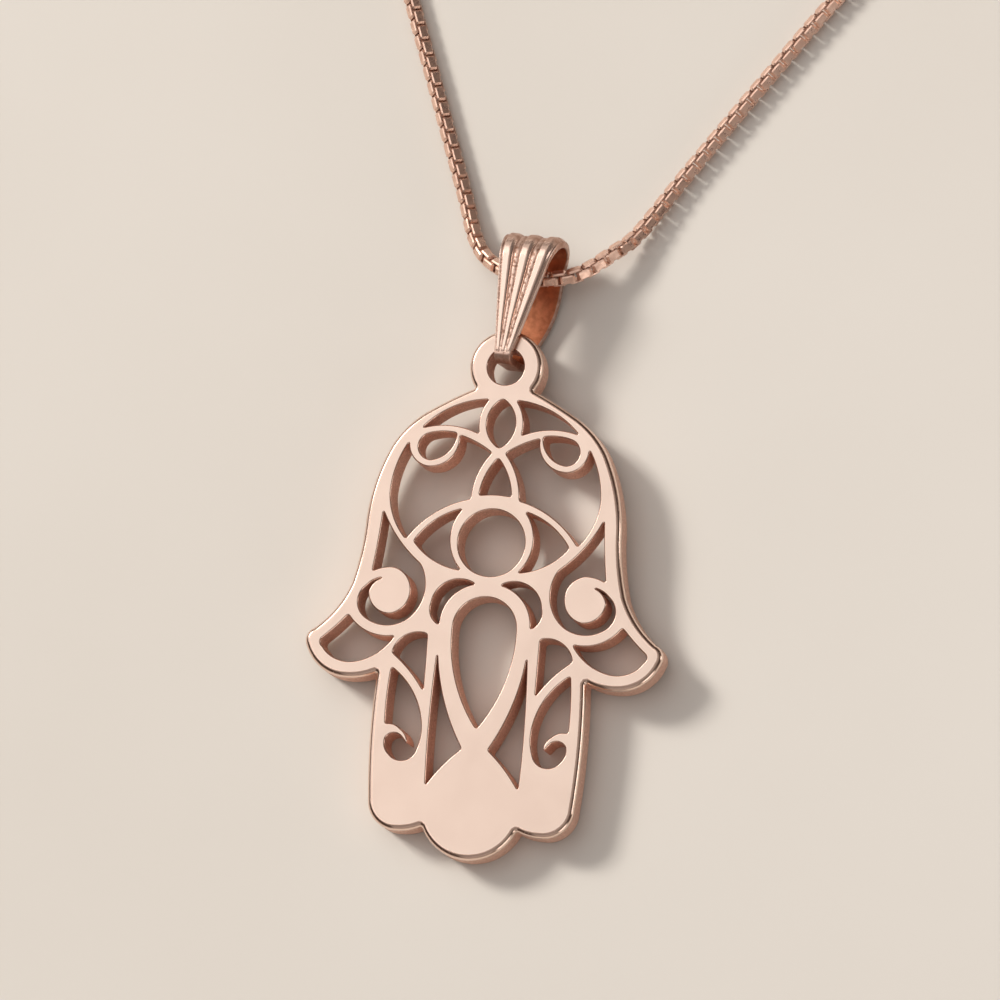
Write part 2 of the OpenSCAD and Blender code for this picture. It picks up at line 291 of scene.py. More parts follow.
def build_polish_lines():
    """Hair lines left by polishing: noise drawn out along one direction, kept where it is above a
    floor, times a gain."""
    inputs = {"Scale": 700, "Stretch": 14, "Amount": 0.5}
    group, given, put = new_group("polish_lines", inputs, ("Lines",))
    turn = group.nodes.new("ShaderNodeVectorRotate")
    turn.inputs["Angle"].default_value = LINE_ANGLE
    group.links.new(object_place(group), turn.inputs["Vector"])
    split = group.nodes.new("ShaderNodeSeparateXYZ")
    group.links.new(turn.outputs[0], split.inputs[0])
    join = group.nodes.new("ShaderNodeCombineXYZ")
    drawn = add_math(group, "MULTIPLY", split.outputs["X"], given.outputs["Stretch"])
    group.links.new(drawn, join.inputs["X"])
    group.links.new(split.outputs["Y"], join.inputs["Y"])
    group.links.new(split.outputs["Z"], join.inputs["Z"])
    noise = add_noise(group, join.outputs[0], given.outputs["Scale"], detail=2)
    above = add_math(group, "SUBTRACT", noise, LINE_FLOOR)
    sharp = add_math(group, "MULTIPLY", above, LINE_GAIN, limit=True)
    lines = add_math(group, "MULTIPLY", sharp, given.outputs["Amount"])
    group.links.new(lines, put.inputs["Lines"])
    return group


POLISH_LINES = build_polish_lines()
print(POLISH_LINES.name, "has", len(POLISH_LINES.nodes), "nodes")

# %% The tarnish and painted shade group
PATCH_GAIN = 3.2
PATCH_SHIFT = -1.1
PATCH_LEVEL = 0.8


def build_tarnish_and_shade():
    """Tarnish and painted shade, from 0 clean to 1 dark: the depth, times a patchy level, times the
    amount. An even depth gives tarnish in random patches, and a depth stored on a piece paints shade
    in its low places. The level is noise with its contrast raised, and Patches says how far it
    moves."""
    inputs = {"Depth": 0, "Scale": 5000, "Amount": 0.7, "Patches": 0.8}
    group, given, put = new_group("tarnish_and_shade", inputs, ("Mask",))
    noise = add_noise(group, object_place(group), given.outputs["Scale"], detail=3)
    contrast = add_math(group, "MULTIPLY_ADD", noise, PATCH_GAIN, PATCH_SHIFT, limit=True)
    around = add_math(group, "SUBTRACT", contrast, NOISE_MIDDLE)
    patchy = add_math(group, "MULTIPLY_ADD", around, given.outputs["Patches"], PATCH_LEVEL)
    worn = add_math(group, "MULTIPLY", given.outputs["Depth"], patchy)
    mask = add_math(group, "MULTIPLY", worn, given.outputs["Amount"], limit=True)
    group.links.new(mask, put.inputs["Mask"])
    return group


TARNISH_AND_SHADE = build_tarnish_and_shade()
print(TARNISH_AND_SHADE.name, "has", len(TARNISH_AND_SHADE.nodes), "nodes")

# %% [markdown]
# ## The metals
#
# All the pieces are one alloy, and they differ in how they were finished: the face is satin, the
# rims and flutes are polished, and the walls are as the saw left them. The bail's inside is coloured
# darker and redder than the rest: that is painted shade, and painted reflection of the metal facing
# it. So one function makes each metal: a colour, a darker colour for tarnish and painted shade, a
# roughness, and how much of each bench mark it has.
# Polished metal only mirrors. A sawn or hammered surface is so rough that it also scatters light,
# so it is a little less metallic.

# %% One metal
EVEN_DEPTH = 0.5
TARNISH_AND_SHADE_DULLS = 0.3
RELIEF_HEIGHT = 0.02 * MM


def use_group(tree, group, **values):
    """Places a group in a material with its own values."""
    node = tree.nodes.new("ShaderNodeGroup")
    node.node_tree = group
    for socket, value in values.items():
        node.inputs[socket].default_value = value
    return node


def new_material(name):
    """An empty material, with its node tree and its own shader."""
    material = bpy.data.materials.new(name)
    material.use_nodes = True
    return material, material.node_tree, material.node_tree.nodes["Principled BSDF"]


def make_metal(name, colour, dark, rough, metallic=1.0, grain=(9000, 0.08), lines=(700, 14, 0.1),
               bump=0.02, tarnish_and_shade=(5000, 0.0), patches=0.8, depth_from=None):
    """Rose gold with its own finish. The tint goes from the clean colour to the dark one where the
    mask of tarnish and painted shade is high, and roughness adds the grain and the polishing lines
    to its base value. Grain and the mask are a scale and a strength, and lines a scale, a stretch
    and an amount. The mask's depth is even, for tarnish in random patches, or comes from values
    stored on the piece, which on the bail are mostly painted shade."""
    material, tree, shader = new_material(name)
    shader.inputs["Metallic"].default_value = metallic
    grains = use_group(tree, GRAIN, Scale=grain[0], Strength=grain[1])
    polish = use_group(tree, POLISH_LINES, Scale=lines[0], Stretch=lines[1], Amount=lines[2])
    mask = use_group(tree, TARNISH_AND_SHADE, Scale=tarnish_and_shade[0], Amount=tarnish_and_shade[1], Patches=patches,
                     Depth=EVEN_DEPTH)
    # Values stored on the piece: on the bail, mostly painted shade
    if depth_from:
        stored = tree.nodes.new("ShaderNodeAttribute")
        stored.attribute_name = depth_from
        tree.links.new(stored.outputs["Fac"], mask.inputs["Depth"])
    tint = tree.nodes.new("ShaderNodeMix")
    tint.data_type = "RGBA"
    tint.inputs["A"].default_value = (*colour, 1)
    tint.inputs["B"].default_value = (*dark, 1)
    tree.links.new(mask.outputs["Mask"], tint.inputs["Factor"])
    tree.links.new(tint.outputs["Result"], shader.inputs["Base Color"])
    marks = add_math(tree, "ADD", grains.outputs["Value"], polish.outputs["Lines"])
    dull = add_math(tree, "MULTIPLY_ADD", mask.outputs["Mask"], TARNISH_AND_SHADE_DULLS, rough)
    tree.links.new(add_math(tree, "ADD", marks, dull, limit=True), shader.inputs["Roughness"])
    relief = tree.nodes.new("ShaderNodeBump")
    relief.inputs["Strength"].default_value = bump
    relief.inputs["Distance"].default_value = RELIEF_HEIGHT
    tree.links.new(grains.outputs["Height"], relief.inputs["Height"])
    tree.links.new(relief.outputs[0], shader.inputs["Normal"])
    print(f"{name}: roughness {rough}, metallic {metallic}")
    return material


FACE_METAL = make_metal("satin_face", (0.9, 0.715, 0.61), (0.75, 0.55, 0.46), 0.27,
                        grain=(9000, 0.02), lines=(150, 6, 0.03), bump=0.005, tarnish_and_shade=(600, 0.2))

# %% The other metals
WALL_METAL = make_metal("sawn_wall", (1, 0.66, 0.52), (0.4, 0.21, 0.145), 0.5, metallic=0.4,
                        grain=(9000, 0.3), bump=0.9, tarnish_and_shade=(9000, 1.1))
RIM_METAL = make_metal("polished_rim", (0.9, 0.68, 0.57), (0.4, 0.2, 0.14), 0.16,
                       tarnish_and_shade=(5000, 0.1))
# The bail's metal darkens by values stored on it: painted shade in the grooves, pits and bend, and a
# darker tone in the bands and at the foot
FLUTE_METAL = make_metal("polished_flutes", (0.98, 0.74, 0.63), (0.36, 0.18, 0.12), 0.18,
                         metallic=0.86, grain=(9000, 0.02), bump=0.01, tarnish_and_shade=(4000, 1.15),
                         patches=0.3, depth_from="painted_shade_and_tone")
# Painted shade and painted reflection: the bail's inside is coloured darker and redder than the
# outside
SHADED_INSIDE_METAL = make_metal("bail_inside_painted_shade", (0.74, 0.31, 0.165), (0.36, 0.13, 0.065), 0.33,
                          grain=(3500, 0.2), bump=0.2, tarnish_and_shade=(2600, 1.1))
LINK_METAL = make_metal("polished_links", (0.97, 0.69, 0.56), (0.5, 0.25, 0.17), 0.25,
                        metallic=0.88, grain=(3000, 0.3), bump=0.2, tarnish_and_shade=(3000, 0.6))
WIRE_METAL = make_metal("polished_wire", (0.88, 0.6, 0.49), (0.4, 0.2, 0.14), 0.15, bump=0.03,
                        tarnish_and_shade=(5000, 0.15))

# %% [markdown]
# ## The table
#
# A plain pale surface stands in for what the necklace lies on. Its top is at height 0, where the
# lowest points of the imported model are. It is one square face, as nothing of it shows but its top.

# %% Table
TABLE_HALF = 1500
TABLE_DARK = (0.6, 0.56, 0.51, 1)
TABLE_PALE = (0.72, 0.69, 0.65, 1)
CLOUDS_A_METRE = 14


def make_table(half):
    """A wide square in the plane of height 0, with a faint clouded tone."""
    corners = np.array([[-half, -half, 0], [half, -half, 0], [half, half, 0], [-half, half, 0]])
    material, tree, shader = new_material("pale_table")
    cloud = add_noise(tree, object_place(tree), CLOUDS_A_METRE, detail=5)
    ramp = tree.nodes.new("ShaderNodeValToRGB")
    ramp.color_ramp.elements[0].color = TABLE_DARK
    ramp.color_ramp.elements[1].color = TABLE_PALE
    tree.links.new(cloud, ramp.inputs[0])
    tree.links.new(ramp.outputs[0], shader.inputs["Base Color"])
    shader.inputs["Roughness"].default_value = 0.8
    make_piece("table", corners, [[[0, 1, 2, 3]]], [material], smooth=False)


make_table(TABLE_HALF)
print("table", 2 * TABLE_HALF, "mm wide")

# %% [markdown]
# ## The hand, step one: its outlines
#
# The hand is flat plate with shapes sawn out of it, so all of its form is in its outlines. They are
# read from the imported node: its two flat faces are joined triangles, and an edge that belongs to
# only one triangle of the upper face lies on an outline. Following those edges in order gives
# closed loops with the metal always on the left.

# %% Read the plate's points and directions
UPWARD = 0.9
NO_AREA = 1e-12


def mesh_arrays(node):
    """A node's points in millimetres, its triangles, and the normal and area of each."""
    mesh = node.data
    points = np.empty(len(mesh.vertices) * 3)
    mesh.vertices.foreach_get("co", points)
    triangles = np.empty(len(mesh.loops), dtype=np.int64)
    mesh.loops.foreach_get("vertex_index", triangles)
    points = points.reshape(-1, 3) / MM
    triangles = triangles.reshape(-1, 3)
    a, b, c = (points[triangles[:, k]] for k in range(3))
    normal = np.cross(b - a, c - a)
    area = np.linalg.norm(normal, axis=1)
    return points, triangles, normal / np.maximum(area, NO_AREA)[:, None], area / 2


def unit(vectors):
    """The same directions, each with a length of 1."""
    return vectors / np.linalg.norm(vectors, axis=-1, keepdims=True)


def plate_directions(normal, area):
    """Rows that point across the plate, along it and out of its face. Out is the mean normal of
    the upward faces, weighted by area, and the other two are square to it."""
    upward = normal[:, 2] > UPWARD
    out = unit((normal[upward] * area[upward, None]).sum(axis=0))
    along = unit(np.cross(out, (1, 0, 0)))
    return np.array([np.cross(along, out), along, out])


hand_points, hand_triangles, hand_normals, hand_areas = mesh_arrays(nodes["hand"])
DIRECTIONS = plate_directions(hand_normals, hand_areas)
flat_points = hand_points @ DIRECTIONS.T
PLATE_LOW = flat_points[:, 2].min()
PLATE_HIGH = flat_points[:, 2].max()
print(f"plate {PLATE_HIGH - PLATE_LOW:.2f} mm thick, facing", np.round(DIRECTIONS[2], 3))

# %% Follow the outlines
SAME_PLACE_DECIMALS = 4
# Twelve doublings reach 4096 points along, and no outline has as many
DOUBLINGS = 12


def outline_loops(points, triangles, level):
    """Closed loops round the triangles whose points all lie above a level. The one-sided edges
    point each vertex to the next. Doubling those jumps finds, in a few whole-array steps, the
    lowest vertex of each loop and how many steps every vertex is from it."""
    places = np.round(points, SAME_PLACE_DECIMALS)
    _, first, same = np.unique(places, axis=0, return_index=True, return_inverse=True)
    welded = same.ravel()[triangles]
    upper = welded[(points[triangles][:, :, 2] > level).all(axis=1)]
    start = upper.ravel()
    end = np.roll(upper, -1, axis=1).ravel()
    count = len(first)
    lonely = ~np.isin(start * count + end, end * count + start)
    following = np.arange(count)
    following[start[lonely]] = end[lonely]
    leader = np.arange(count)
    jump = following.copy()
    for _ in range(DOUBLINGS):
        leader = np.minimum(leader, leader[jump])
        jump = jump[jump]
    jump = np.where(np.arange(count) == leader, leader, following)
    steps = (jump != np.arange(count)).astype(int)
    for _ in range(DOUBLINGS):
        steps = steps + steps[jump]
        jump = jump[jump]
    on_edge = start[lonely]
    order = on_edge[np.lexsort((-steps[on_edge], leader[on_edge]))]
    cuts = np.flatnonzero(np.diff(leader[order])) + 1
    return [points[first[loop], :2] for loop in np.split(order, cuts)]


rough_loops = outline_loops(flat_points, hand_triangles, (PLATE_LOW + PLATE_HIGH) / 2)
print(len(rough_loops), "outlines,", sum(map(len, rough_loops)), "points, at most",
      max(map(len, rough_loops)), "in one")

# %% [markdown]
# ## The hand, step two: smooth outlines
#
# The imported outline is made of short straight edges. Polished rims would show each one, so every
# edge becomes a small arc that leaves and arrives along the circle through its neighbours. A
# subdivision modifier could do that too, but it would pull the outline away from its points.

# %% Smooth the outlines
LOOP_STEP = 0.08
CORNER_TURN = math.radians(20)


def turn_at_points(loop):
    """The signed turn at each point of a closed loop, positive to the left."""
    ahead = np.roll(loop, -1, axis=0) - loop
    behind = np.roll(ahead, 1, axis=0)
    cross = behind[:, 0] * ahead[:, 1] - behind[:, 1] * ahead[:, 0]
    return np.arctan2(cross, (behind * ahead).sum(axis=1))


def finer_loop(loop, step):
    """The same loop with close points. A point's tangent is the mean of the two edges that meet
    there, each weighted by the length of the other, which is the tangent of their circle. At a
    corner, an edge's tangent mirrors the one at its other end. Hermite curves join the points."""
    following = np.roll(loop, -1, axis=0)
    length = np.linalg.norm(following - loop, axis=1)
    way = (following - loop) / length[:, None]
    tangent = unit(np.roll(way, 1, axis=0) * length[:, None] + way * np.roll(length, 1)[:, None])
    arrival = np.roll(tangent, -1, axis=0)
    corner = (np.abs(turn_at_points(loop)) > CORNER_TURN)[:, None]
    corner_ahead = np.roll(corner, -1, axis=0)

    def mirror(v):
        return 2 * (v * way).sum(axis=1)[:, None] * way - v

    straight = corner & corner_ahead
    leave = np.where(straight, way, np.where(corner, mirror(arrival), tangent))
    arrive = np.where(straight, way, np.where(corner_ahead, mirror(tangent), arrival))
    parts = np.ceil(length / step).astype(int)
    edge = np.repeat(np.arange(len(loop)), parts)
    part = np.arange(len(edge)) - np.repeat(np.cumsum(parts) - parts, parts)
    t = (part / parts[edge])[:, None]
    speed = length[edge, None]
    return ((2 * t**3 - 3 * t**2 + 1) * loop[edge] + (t**3 - 2 * t**2 + t) * speed * leave[edge]
            + (3 * t**2 - 2 * t**3) * following[edge] + (t**3 - t**2) * speed * arrive[edge])


def loop_area(loop):
    """The signed area inside a loop, by the cross product of each point with the next."""
    following = np.roll(loop, -1, axis=0)
    return (loop[:, 0] * following[:, 1] - loop[:, 1] * following[:, 0]).sum() / 2


rough_loops.sort(key=loop_area, reverse=True)
sharp_loops = [finer_loop(loop, LOOP_STEP) for loop in rough_loops]
print(f"outline round {loop_area(sharp_loops[0]):.1f} mm2, with {len(sharp_loops) - 1} openings")

# %% [markdown]
# True corners are still sharp, and a polished hand has none. A file rounds the tips of metal most:
# those at the outside, and the ends of the swirls in the openings. The hollow corners, where the
# saw turned, are only eased. The metal is on the left of each loop, so a tip is a turn to the left.

# %% Round the tips and ease the corners
OUTER_TIP_REACH = 0.5
SWIRL_TIP_REACH = 0.24
TIP_PASSES = 24
CORNER_REACH = 0.16
CORNER_PASSES = 3


def ease_corners(loop, reach, passes, only_left=False):
    """Rounds the corners of a loop: points within a reach of one move halfway to the middle of
    their neighbours, several times over. The rest of the loop stays as it is."""
    turn = turn_at_points(loop)
    corner = (turn if only_left else np.abs(turn)) > CORNER_TURN
    shifts = math.ceil(reach / LOOP_STEP)
    near = np.zeros(len(loop), dtype=bool)
    for shift in range(-shifts, shifts + 1):
        near |= np.roll(corner, shift)
    for _ in range(passes):
        middle = (np.roll(loop, 1, axis=0) + np.roll(loop, -1, axis=0)) / 2
        loop = np.where(near[:, None], (loop + middle) / 2, loop)
    return loop


def file_loop(loop, tip_reach):
    """A loop with its tips of metal rounded, and then all its corners eased."""
    rounded = ease_corners(loop, tip_reach, TIP_PASSES, only_left=True)
    return ease_corners(rounded, CORNER_REACH, CORNER_PASSES)


fine_loops = [file_loop(loop, SWIRL_TIP_REACH if number else OUTER_TIP_REACH)
              for number, loop in enumerate(sharp_loops)]
print("outline:", len(fine_loops[0]), "points; openings:", sum(map(len, fine_loops[1:])))

# %% [markdown]
# ## The hand, step three: rims and walls
#
# A profile is carried along each loop: a quarter circle from the face down to the wall, the wall,
# and a smaller quarter circle to the back. The outer edge was rounded well by polishing, and the
# openings only had their burr taken off. Because the profile is a formula, each point's normal is
# known exactly, and the mesh is given those normals, so reflections run evenly along the rims. A
# Bevel modifier could round the rims too, but it crowds its faces at the tips of the swirls.

# %% The rim's profile
OUTER_RIM = 0.32
OUTER_BACK_RIM = 0.14
OUTER_RIM_STEPS = 11
OPENING_RIM = 0.09
OPENING_BACK_RIM = 0.05
OPENING_RIM_STEPS = 5


def rim_profile(top_rim, back_rim, steps):
    """Rows of distance in from the wall, height, and the normal's parts outwards and upwards, from
    the face's edge to the back's. Each rim is a quarter circle."""
    turn = np.linspace(math.pi / 2, 0, steps)
    top = np.stack([top_rim * (1 - np.cos(turn)), PLATE_HIGH - top_rim * (1 - np.sin(turn)),
                    np.cos(turn), np.sin(turn)], axis=1)
    turn = turn[::-1]
    back = np.stack([back_rim * (1 - np.cos(turn)), PLATE_LOW + back_rim * (1 - np.sin(turn)),
                     np.cos(turn), -np.sin(turn)], axis=1)
    return np.concatenate([top, back])


outer_profile = rim_profile(OUTER_RIM, OUTER_BACK_RIM, OUTER_RIM_STEPS)
opening_profile = rim_profile(OPENING_RIM, OPENING_BACK_RIM, OPENING_RIM_STEPS)
print("profile points:", len(outer_profile), "outside,", len(opening_profile), "in the openings")

# %% Surfaces between and round the outlines
def rim_surface(loop, profile):
    """Points and normals on a grid, profile rows by loop points. A point is the loop's own, moved
    in along the loop's left normal by the profile's distance, at the profile's height."""
    along = unit(np.roll(loop, -1, axis=0) - np.roll(loop, 1, axis=0))
    inwards = np.stack([-along[:, 1], along[:, 0]], axis=1)
    place = loop[None] + profile[:, 0, None, None] * inwards[None]
    height = np.broadcast_to(profile[:, 1, None, None], (*place.shape[:2], 1))
    upwards = np.broadcast_to(profile[:, 3, None, None], (*place.shape[:2], 1))
    points = np.concatenate([place, height], axis=2)
    normals = np.concatenate([-profile[:, 2, None, None] * inwards[None], upwards], axis=2)
    return points.reshape(-1, 3), normals.reshape(-1, 3)


def fill_flat(points, loops, upwards):
    """Triangles that fill the flat face between loops of point numbers, all turned to face up or
    all down."""
    work = bmesh.new()
    numbers = np.concatenate(loops)
    made = [work.verts.new((x, y, 0)) for x, y in points[numbers, :2]]
    begin = 0
    for loop in loops:
        ring = made[begin:begin + len(loop)]
        for one, other in zip(ring, ring[1:] + ring[:1]):
            work.edges.new((one, other))
        begin += len(loop)
    bmesh.ops.triangle_fill(work, use_beauty=True, edges=work.edges[:], normal=(0, 0, 1))
    work.verts.index_update()
    triangles = np.array([[vertex.index for vertex in face.verts] for face in work.faces])
    work.free()
    a, b, c = (points[numbers[triangles[:, k]], :2] for k in range(3))
    leftwards = (b - a)[:, 0] * (c - a)[:, 1] - (b - a)[:, 1] * (c - a)[:, 0]
    wrong = (leftwards > 0) != upwards
    triangles[wrong] = triangles[wrong][:, ::-1]
    return numbers[triangles]


print("points round the first opening:", len(rim_surface(fine_loops[1], opening_profile)[0]))

# %% Build the hand
FACE, RIM, WALL = 0, 1, 2


def dress(piece, slot, *replaced):
    """Fastens a finished piece to the one body, in place of the nodes that it stands for."""
    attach(piece, "root")
    if replaced:
        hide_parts(*replaced)
    print(f"{piece.name}: {len(piece.data.vertices)} points, {len(piece.data.polygons)} faces")


def build_hand():
    """The rims and walls of every outline, and the two flat faces between them."""
    points, normals, faces, kinds, top_loops, back_loops = [], [], [], [], [], []
    begin = 0
    for number, loop in enumerate(fine_loops):
        profile = outer_profile if number == 0 else opening_profile
        ring_points, ring_normals = rim_surface(loop, profile)
        rows, columns = len(profile), len(loop)
        band = np.repeat(np.arange(rows - 1), columns)
        points.append(ring_points)
        normals.append(ring_normals)
        faces.append(grid_faces(rows, columns)[:, ::-1] + begin)
        kinds.append(np.where(band < rows // 2 - 1, RIM, WALL))
        top_loops.append(begin + np.arange(columns))
        back_loops.append(begin + (rows - 1) * columns + np.arange(columns))
        begin += rows * columns
    points = np.concatenate(points)
    for loops, upwards in ((top_loops, True), (back_loops, False)):
        triangles = fill_flat(points, loops, upwards)
        faces.append(triangles)
        kinds.append(np.full(len(triangles), FACE))
    return make_piece("hand_plate", points @ DIRECTIONS, faces, [FACE_METAL, RIM_METAL, WALL_METAL],
                      np.concatenate(kinds), np.concatenate(normals) @ DIRECTIONS)


dress(build_hand(), "satin_rose_gold", "hand")

# %% [markdown]
# ## The bail: a fluted strip folded through the ring
#
# The real bail is a stamped strip, fan shaped, with three flutes and a pitted band of piping beside
# each. It is folded through the ring and closed at its foot. It could be a flat strip bent with a
# modifier, but as a formula each flute keeps its share of the width as the fan narrows: one
# parameter goes round the folded path, the other goes round the strip's section.

# %% Bail sizes and its folded path
BAIL_L = 7.45
BAIL_TOP_W = 3.5
BAIL_FOOT_W = 0.96
BAIL_SHEET = 0.4
# Half the room inside the fold, the foot's corners, and how far the back leg bows out and sideways
BAIL_HALF = 1.18
BAIL_CORNER = 0.55
BAIL_BELLY = 0.3
BAIL_BOW = 0.4
BAIL_MID = BAIL_HALF + BAIL_SHEET / 2
LEG_TOP = BAIL_L - BAIL_SHEET / 2 - BAIL_MID
# How many stations each stretch of the path has
FRONT_STATIONS = 150
BEND_STATIONS = 64
BACK_STATIONS = 40
FOOT_STATIONS = 32
# The flutes begin at part of their height beside the foot, grow up the front, and fade on the bend
FLUTE_FIRST = 0.5
FLUTE_FIRST_AT = 0.03
FLUTE_FULL_AT = 0.35
FADE_FROM = math.radians(45)
FADE_TO = math.radians(150)


def smooth_step(low, high, x):
    """0 below low, 1 above high, and a smooth S between."""
    t = np.clip((x - low) / (high - low), 0, 1)
    return t * t * (3 - 2 * t)


def bail_path():
    """The closed path of the strip's middle: up the front leg, over the top in a half circle, down
    the back leg, which bows out and to the right, and round under the foot. Columns are the height,
    the depth, the outward angle, how far the flutes stand there, and the bow to the right."""
    share = np.linspace(0, 1, FRONT_STATIONS, endpoint=False)
    grown = FLUTE_FIRST + (1 - FLUTE_FIRST) * smooth_step(0, FLUTE_FULL_AT, share)
    front = np.stack([BAIL_CORNER + (LEG_TOP - BAIL_CORNER) * share, 0 * share + BAIL_MID,
                      0 * share, smooth_step(0, FLUTE_FIRST_AT, share) * grown, 0 * share])
    turn = np.linspace(0, math.pi, BEND_STATIONS, endpoint=False)
    fade = 1 - smooth_step(FADE_FROM, FADE_TO, turn)
    over = np.stack([LEG_TOP + BAIL_MID * np.sin(turn), BAIL_MID * np.cos(turn), turn, fade,
                     0 * turn])
    share = np.linspace(0, 1, BACK_STATIONS, endpoint=False)
    bow = np.sin(math.pi * share)
    back = np.stack([LEG_TOP + (BAIL_CORNER - LEG_TOP) * share, -BAIL_MID - BAIL_BELLY * bow,
                     0 * share + math.pi, 0 * share, BAIL_BOW * bow])
    turn = np.linspace(math.pi, 2 * math.pi, FOOT_STATIONS, endpoint=False)
    side = np.where(turn < 1.5 * math.pi, -1, 1)
    foot = np.stack([BAIL_SHEET / 2 + (BAIL_CORNER - BAIL_SHEET / 2) * (1 + np.sin(turn)),
                     side * (BAIL_MID - BAIL_CORNER) + BAIL_CORNER * np.cos(turn), turn, 0 * turn,
                     0 * turn])
    return np.concatenate([front, over, back, foot], axis=1).T


print("bail path:", len(bail_path()), "stations")

# %% [markdown]
# Across the outside there are three periods. Each has a pitted band at its left and a wide, blunt
# flute beside it, with a groove on both sides of the band. The left edge cuts the first band.

# %% Flutes and bands across the strip
PERIODS = 3
FIRST_PERIOD = 0.21
BAND_SHARE = 0.36
BAND_RISE = 0.45
FLUTE_START = 0.14
FLUTE_CREST = 0.55
FLUTE_FALL = 2.2


def flute_profile(across):
    """Height of the outside from 0 to 1, and where it is banded, at places across from -1 to 1. The
    band is a low half ellipse. The flute rises as a parabola, keeps its height, and falls as a
    wider curve beyond its crest, so it leans to the left."""
    period = FIRST_PERIOD + (across + 1) / 2 * (PERIODS - FIRST_PERIOD)
    part = period - np.minimum(np.floor(period), PERIODS - 1)
    banded = part < BAND_SHARE
    band = np.clip(part / BAND_SHARE, 0, 1)
    flute = np.clip((part - BAND_SHARE) / (1 - BAND_SHARE), 0, 1)
    band_height = BAND_RISE * np.sqrt(np.clip(1 - (2 * band - 1) ** 2, 0, 1))
    climb = 1 - np.clip(1 - flute / FLUTE_START, 0, 1) ** 2
    fall = 1 - np.clip((flute - FLUTE_CREST) / (1 - FLUTE_CREST), 0, 1) ** FLUTE_FALL
    return np.where(banded, band_height, climb * fall), banded


print("heights across:", np.round(flute_profile(np.linspace(-1, 1, 9))[0], 2))

# %% [markdown]
# The pits are noise on a lattice, deep where it is high. The grooves and the pits are also stored
# as values on the points, which the material darkens as painted shade, the pits by their depth; the
# pitted bands are stored as a darker tone. So are the bend, as painted shade, and the foot, which is
# coloured a little darker.

# %% Pits and tarnish on the outside
FLUTE_RISE = 0.24
GROOVE_HEIGHT = 0.3
LATTICE = 256
PIT_CELL = 0.1
PIT_SEED = 11
PIT_DEPTH = 0.011
PIT_FROM = 0.45
PIT_FULL = 0.75
# The pits grow shallower close to the strip's edges, down to this share
PIT_AT_EDGE = 0.2
PIT_EDGE_POWER = 12
# How dark the bands are coloured, and the painted shade in the pits
BAND_DARKNESS = 0.4
PIT_DARKNESS = 0.5


def value_noise(first, second, seed):
    """Random heights at the corners of a lattice, blended between by the smooth step."""
    table = np.random.default_rng(seed).random((LATTICE, LATTICE))
    i = np.floor(first).astype(int)
    j = np.floor(second).astype(int)
    u = smooth_step(0, 1, first - i)
    v = smooth_step(0, 1, second - j)
    i, next_i, j, next_j = (index % LATTICE for index in (i, i + 1, j, j + 1))
    low = table[i, j] * (1 - v) + table[i, next_j] * v
    high = table[next_i, j] * (1 - v) + table[next_i, next_j] * v
    return low * (1 - u) + high * u


def bail_outside(path, reach, flat, across, foot):
    """How far the outside lies from the sheet's middle, and how dark it is painted. The flutes'
    height is in proportion to the strip's width there, and the pits are taken off. The foot is
    pitted all over, and the rest only in its bands. Painted shade darkens the grooves, and the pits
    by their depth, and the bands are a darker tone."""
    fluted = path[:, 3, None]
    height, banded = flute_profile(across)
    rise = FLUTE_RISE * fluted * reach * 2 / BAIL_TOP_W
    steps = np.diff(path[:, :2], axis=0, prepend=path[:1, :2])
    travel = np.cumsum(np.linalg.norm(steps, axis=1))[:, None]
    pits = value_noise(travel / PIT_CELL, flat * across / PIT_CELL, PIT_SEED)
    deep = smooth_step(PIT_FROM, PIT_FULL, pits)
    standing = np.clip(fluted / FLUTE_FIRST, 0, 1)
    near_edge = np.clip(1 + PIT_AT_EDGE - np.abs(across) ** PIT_EDGE_POWER, 0, 1)
    pitted = np.where(foot, 1 - standing, banded * standing) * near_edge
    lift = BAIL_SHEET / 2 + rise * height - PIT_DEPTH * deep * pitted
    # Painted shade in the grooves, and in the pits by their depth; the bands a darker tone
    groove_shade = fluted * np.clip(1 - height / GROOVE_HEIGHT, 0, 1)
    return lift, np.maximum(groove_shade, (BAND_DARKNESS + PIT_DARKNESS * deep) * pitted)


print(f"pits up to {PIT_DEPTH * 1000:.0f} microns deep, {PIT_CELL} mm apart")

# %% The whole bail surface
STEPS_ACROSS = 140
STEPS_INSIDE = 12
EDGE_STEPS = 5
EDGE_ROUND = 0.07
BAIL_SKEW = 0.4
# The foot is the front part of the lowest bend, up to a height above its corner
FOOT_COSINE = -0.2
FOOT_RISE = 0.25
# How much darker the foot is coloured
FOOT_DARKNESS = 0.25
# The stretch over the top and down the back is painted darker: painted shade, standing in for
# darker surroundings mirrored in the bend. These outward angles, in radians, are where that begins,
# is whole, starts to end and ends
BEND_SHADE_ANGLES = (0.5, 0.95, 5.9, 6.2)
BEND_SHADE_DARKNESS = 0.8


def section_edge(flat):
    """The right edge of the section, as places across and heights: a quarter circle from the
    outside to the edge, and another on to the inside. Its first point is the outside's own."""
    turn = np.linspace(0, math.pi / 2, EDGE_STEPS)[None]
    out = flat + EDGE_ROUND * np.concatenate([np.sin(turn[:, 1:]), np.cos(turn)], axis=1)
    first = BAIL_SHEET / 2 - EDGE_ROUND * (1 - np.cos(turn[:, 1:]))
    second = EDGE_ROUND * (1 - np.sin(turn)) - BAIL_SHEET / 2
    return out, np.concatenate([first, second], axis=1) + 0 * flat


